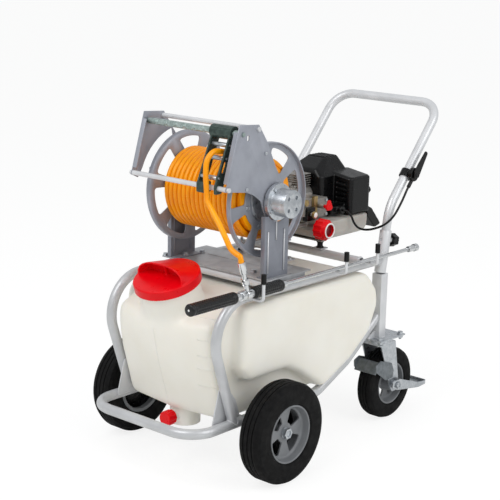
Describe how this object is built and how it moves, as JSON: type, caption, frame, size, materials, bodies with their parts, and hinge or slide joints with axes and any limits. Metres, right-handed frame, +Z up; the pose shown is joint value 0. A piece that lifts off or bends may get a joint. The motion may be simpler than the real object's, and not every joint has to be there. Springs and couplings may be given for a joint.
{
  "type": "wheeled sprayer cart",
  "caption": "Push cart with a liquid tank, engine pump, hose reel with traverse guide and a spray lance, on two fixed wheels and two braked swivel casters.",
  "frame": {"origin": "on the floor, under the middle of the footprint", "axes": "+X toward the push handle, +Z up, lance side at -Y"},
  "size_m": [1.018, 0.568, 0.8527],
  "materials": {
    "frame_paint": "silver paint, satin",
    "zinc": "zinc plate",
    "tyre_rubber": "matte black rubber",
    "hub_plastic": "mid grey moulding",
    "tank_plastic": "ivory polyethylene",
    "red_plastic": "red moulding",
    "black_plastic": "black moulding",
    "grip_rubber": "black rubber",
    "reel_paint": "grey paint",
    "screw_steel": "ground steel",
    "carriage_paint": "dark green paint",
    "hose_plastic": "orange-yellow hose",
    "chrome": "polished plate",
    "cast_metal": "die cast",
    "brass": "plated brass",
    "white_plastic": "white translucent moulding"
  },
  "bodies": {
    "frame": {"base_loop": "frame_paint", "side_arches": "frame_paint", "frame_plates": "frame_paint", "cross_tubes": "frame_paint", "rear_columns": "frame_paint", "axle": "zinc", "axle_brackets": "frame_paint", "caster_plates": "zinc", "tank": "tank_plastic", "sump": "tank_plastic", "deck_plates": "reel_paint", "reel_posts": "reel_paint", "wing_near": "reel_paint", "wing_far": "reel_paint", "reel_rods": "zinc", "hose_run": "hose_plastic", "lance_grips": "grip_rubber", "lance_metal": "chrome", "lance_hooks": "frame_paint", "hook_caps": "grip_rubber", "engine_mounts": "grip_rubber", "fuel_tank": "white_plastic", "crankcase": "cast_metal", "shroud": "black_plastic", "pump": "cast_metal", "pump_fittings": "brass", "throttle_cable": "grip_rubber"},
    "wheel_near": {"tyre_near": "tyre_rubber", "hub_near": "hub_plastic"},
    "wheel_far": {"tyre_far": "tyre_rubber", "hub_far": "hub_plastic"},
    "handle": {"handle": "frame_paint", "throttle_body": "black_plastic"},
    "throttle_lever": {"throttle_lever": "black_plastic"},
    "clamp_knob_near": {"clamp_knob_near": "black_plastic"},
    "clamp_knob_far": {"clamp_knob_far": "black_plastic"},
    "lid": {"lid": "red_plastic"},
    "drain_cap": {"drain_cap": "red_plastic"},
    "drum": {"reel_discs": "reel_paint", "drum_core": "hose_plastic", "drum_shaft": "zinc", "hose_winding": "hose_plastic"},
    "traverse_screw": {"traverse_screw": "screw_steel"},
    "carriage": {"carriage": "carriage_paint", "carriage_rollers": "zinc", "hose_guide_run": "hose_plastic"},
    "nozzle": {"nozzle": "chrome"},
    "pressure_knob": {"pressure_knob": "red_plastic"},
    "relief_lever": {"relief_lever": "red_plastic"},
    "air_knob": {"air_knob": "black_plastic"},
    "caster_near": {"caster_fork_near": "zinc"},
    "caster_wheel_near": {"caster_tyre_near": "tyre_rubber", "caster_hub_near": "hub_plastic"},
    "brake_pedal_near": {"brake_pedal_near": "zinc"},
    "brake_shoe_near": {"brake_shoe_near": "zinc"},
    "caster_far": {"caster_fork_far": "zinc"},
    "caster_wheel_far": {"caster_tyre_far": "tyre_rubber", "caster_hub_far": "hub_plastic"},
    "brake_pedal_far": {"brake_pedal_far": "zinc"},
    "brake_shoe_far": {"brake_shoe_far": "zinc"}
  },
  "joints": [
    {"name": "wheel_near_spin", "type": "hinge", "parent": "frame", "child": "wheel_near", "pos_m": [-0.23, -0.252, 0.125], "axis": [0, 1, 0], "continuous": true},
    {"name": "wheel_far_spin", "type": "hinge", "parent": "frame", "child": "wheel_far", "pos_m": [-0.23, 0.252, 0.125], "axis": [0, 1, 0], "continuous": true},
    {"name": "caster_near_swivel", "type": "hinge", "parent": "frame", "child": "caster_near", "pos_m": [0.275, -0.165, 0.23], "axis": [0, 0, 1], "continuous": true},
    {"name": "caster_near_spin", "type": "hinge", "parent": "caster_near", "child": "caster_wheel_near", "pos_m": [0.311, -0.165, 0.098], "axis": [0, 1, 0], "continuous": true},
    {"name": "brake_pedal_near_press", "type": "hinge", "parent": "caster_near", "child": "brake_pedal_near", "pos_m": [0.311, -0.165, 0.098], "axis": [0, 1, 0], "range_deg": [0, 12]},
    {"name": "brake_shoe_near_swing", "type": "hinge", "parent": "caster_near", "child": "brake_shoe_near", "pos_m": [0.287, -0.165, 0.15], "axis": [0, 1, 0], "range_deg": [-6, 0]},
    {"name": "caster_far_swivel", "type": "hinge", "parent": "frame", "child": "caster_far", "pos_m": [0.275, 0.165, 0.23], "axis": [0, 0, 1], "continuous": true},
    {"name": "caster_far_spin", "type": "hinge", "parent": "caster_far", "child": "caster_wheel_far", "pos_m": [0.311, 0.165, 0.098], "axis": [0, 1, 0], "continuous": true},
    {"name": "brake_pedal_far_press", "type": "hinge", "parent": "caster_far", "child": "brake_pedal_far", "pos_m": [0.311, 0.165, 0.098], "axis": [0, 1, 0], "range_deg": [0, 12]},
    {"name": "brake_shoe_far_swing", "type": "hinge", "parent": "caster_far", "child": "brake_shoe_far", "pos_m": [0.287, 0.165, 0.15], "axis": [0, 1, 0], "range_deg": [-6, 0]},
    {"name": "handle_slide", "type": "slide", "parent": "frame", "child": "handle", "axis": [0.1616, 0, 0.9869], "range_m": [0, 0.08]},
    {"name": "throttle_lever_swing", "type": "hinge", "parent": "handle", "child": "throttle_lever", "pos_m": [0.35108, -0.207, 0.6694], "axis": [0, 1, 0], "range_deg": [0, 60]},
    {"name": "clamp_knob_near_turn", "type": "hinge", "parent": "frame", "child": "clamp_knob_near", "pos_m": [0.29585, -0.175, 0.49815], "axis": [0.9869, 0, -0.1616], "range_deg": [0, 360]},
    {"name": "clamp_knob_far_turn", "type": "hinge", "parent": "frame", "child": "clamp_knob_far", "pos_m": [0.29585, 0.175, 0.49815], "axis": [0.9869, 0, -0.1616], "range_deg": [0, 360]},
    {"name": "lid_lift", "type": "slide", "parent": "frame", "child": "lid", "axis": [-0.3173, 0, 0.9483], "range_m": [0, 0.12]},
    {"name": "drain_cap_turn", "type": "hinge", "parent": "frame", "child": "drain_cap", "pos_m": [-0.36, 0, 0.128], "axis": [1, 0, 0], "range_deg": [0, 360]},
    {"name": "drum_turn", "type": "hinge", "parent": "frame", "child": "drum", "pos_m": [-0.138, 0, 0.656], "axis": [0, 1, 0], "continuous": true},
    {"name": "traverse_screw_turn", "type": "hinge", "parent": "frame", "child": "traverse_screw", "pos_m": [-0.259, 0, 0.828], "axis": [0, 1, 0], "continuous": true},
    {"name": "carriage_slide", "type": "slide", "parent": "frame", "child": "carriage", "axis": [0, 1, 0], "range_m": [0, 0.205]},
    {"name": "nozzle_turn", "type": "hinge", "parent": "frame", "child": "nozzle", "pos_m": [0.35, -0.207, 0.472], "axis": [1, 0, 0], "range_deg": [0, 360]},
    {"name": "pressure_knob_turn", "type": "hinge", "parent": "frame", "child": "pressure_knob", "pos_m": [0.116, -0.08, 0.539], "axis": [0, -1, 0], "range_deg": [0, 720]},
    {"name": "relief_lever_flip", "type": "hinge", "parent": "frame", "child": "relief_lever", "pos_m": [0.155, -0.07, 0.59], "axis": [0, 1, 0], "range_deg": [0, 90]},
    {"name": "air_knob_turn", "type": "hinge", "parent": "frame", "child": "air_knob", "pos_m": [0.374, -0.03, 0.602], "axis": [1, 0, 0], "range_deg": [0, 360]}
  ],
  "couplings": [
    {"joint": "brake_shoe_near_swing", "follows": "brake_pedal_near_press", "ratio": -0.5},
    {"joint": "brake_shoe_far_swing", "follows": "brake_pedal_far_press", "ratio": -0.5},
    {"joint": "traverse_screw_turn", "follows": "drum_turn", "ratio": 0.5}
  ]
}
